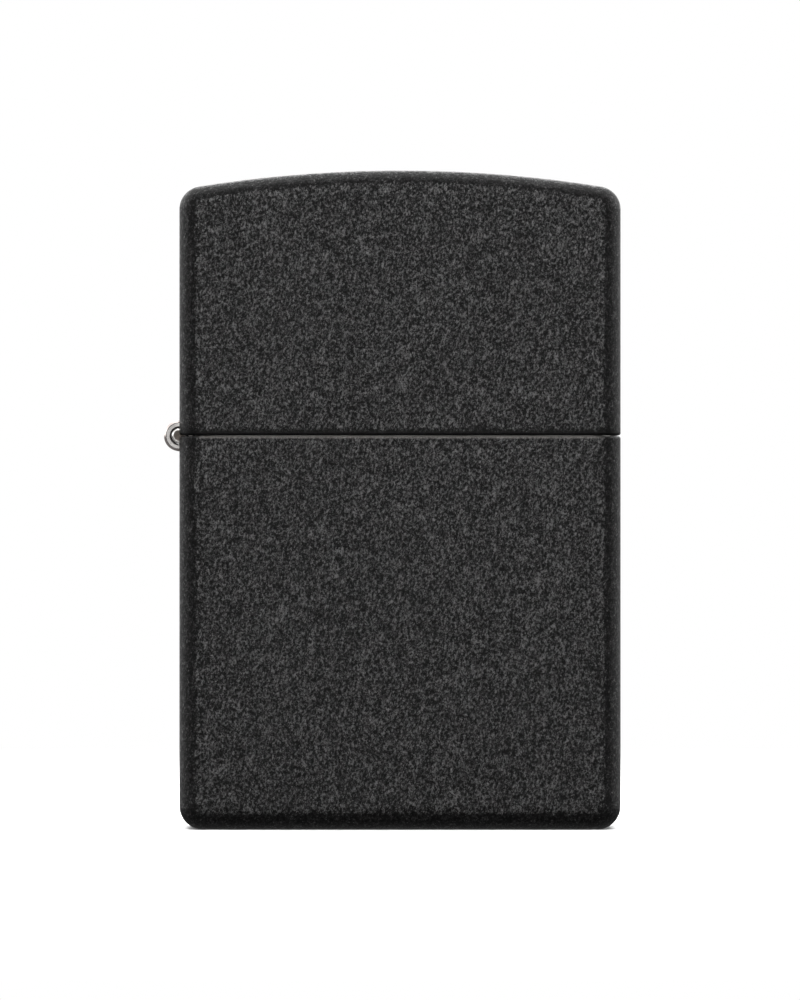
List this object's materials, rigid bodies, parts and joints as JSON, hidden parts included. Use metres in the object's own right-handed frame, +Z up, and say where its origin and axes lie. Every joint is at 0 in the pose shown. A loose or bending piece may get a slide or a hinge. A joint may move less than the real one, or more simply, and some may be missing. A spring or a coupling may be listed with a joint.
{
  "type": "petrol lighter",
  "caption": "Windproof pocket petrol lighter with a flip-top lid, black crackle case and a lift-out insert with chimney, cam and striker wheel.",
  "frame": {"origin": "middle of the body's flat underside, lid closed", "axes": "+Z up, +X to the right with the hinge on the left, front face towards -Y"},
  "size_m": [0.0395, 0.0126, 0.0569],
  "materials": {
    "case_paint": "matt black crackle paint on drawn brass",
    "hinge_steel": "nickel-plated rolled steel",
    "insert_steel": "brushed stainless sheet",
    "cam_steel": "satin pressed steel",
    "rivet_steel": "burnished steel",
    "spring_steel": "tempered spring steel",
    "wheel_steel": "dark hardened steel, crisp teeth",
    "tube_brass": "bare turned brass",
    "flint_metal": "dull grey ferrocerium",
    "wick_cotton": "braided cotton, charred at the top",
    "wick_copper": "fine copper wire",
    "felt": "pressed wool felt",
    "cotton": "loose cotton wadding"
  },
  "bodies": {
    "root": {"case_body": "case_paint", "hinge_leaf_body": "hinge_steel", "hinge_pin": "hinge_steel", "insert_shell": "insert_steel", "windscreen": "insert_steel", "cam_rivet": "rivet_steel", "cam_spring": "spring_steel", "cam_spring_rivet": "rivet_steel", "striker_rivet": "rivet_steel", "flint_tube": "tube_brass", "flint_spring": "spring_steel", "flint_screw": "tube_brass", "wick": "wick_cotton", "wick_core": "wick_copper", "felt_pad": "felt", "cotton_pad_1": "cotton", "cotton_pad_2": "cotton", "cotton_pad_3": "cotton", "cotton_pad_4": "cotton", "cotton_pad_5": "cotton"},
    "lid": {"case_lid": "case_paint", "hinge_leaf_lid": "hinge_steel"},
    "cam": {"cam": "cam_steel"},
    "striker": {"striker_wheel": "wheel_steel"},
    "flint": {"flint": "flint_metal", "flint_follower": "tube_brass"}
  },
  "joints": [
    {"name": "lid_hinge", "type": "hinge", "parent": "root", "child": "lid", "pos_m": [-0.01907, 0, 0.03399], "axis": [0, -1, 0], "range_deg": [0, 120]},
    {"name": "cam_pivot", "type": "hinge", "parent": "root", "child": "cam", "pos_m": [-0.01207, 0, 0.03849], "axis": [0, -1, 0], "range_deg": [0, 40]},
    {"name": "striker_spin", "type": "hinge", "parent": "root", "child": "striker", "pos_m": [0.0069, 0, 0.04795], "axis": [0, 1, 0], "continuous": true},
    {"name": "flint_feed", "type": "slide", "parent": "root", "child": "flint", "axis": [0, 0, 1], "range_m": [-0.0015, 0], "deforming": ["flint_spring"]}
  ],
  "couplings": [
    {"joint": "cam_pivot", "follows": "lid_hinge", "ratio": 0.33333}
  ]
}
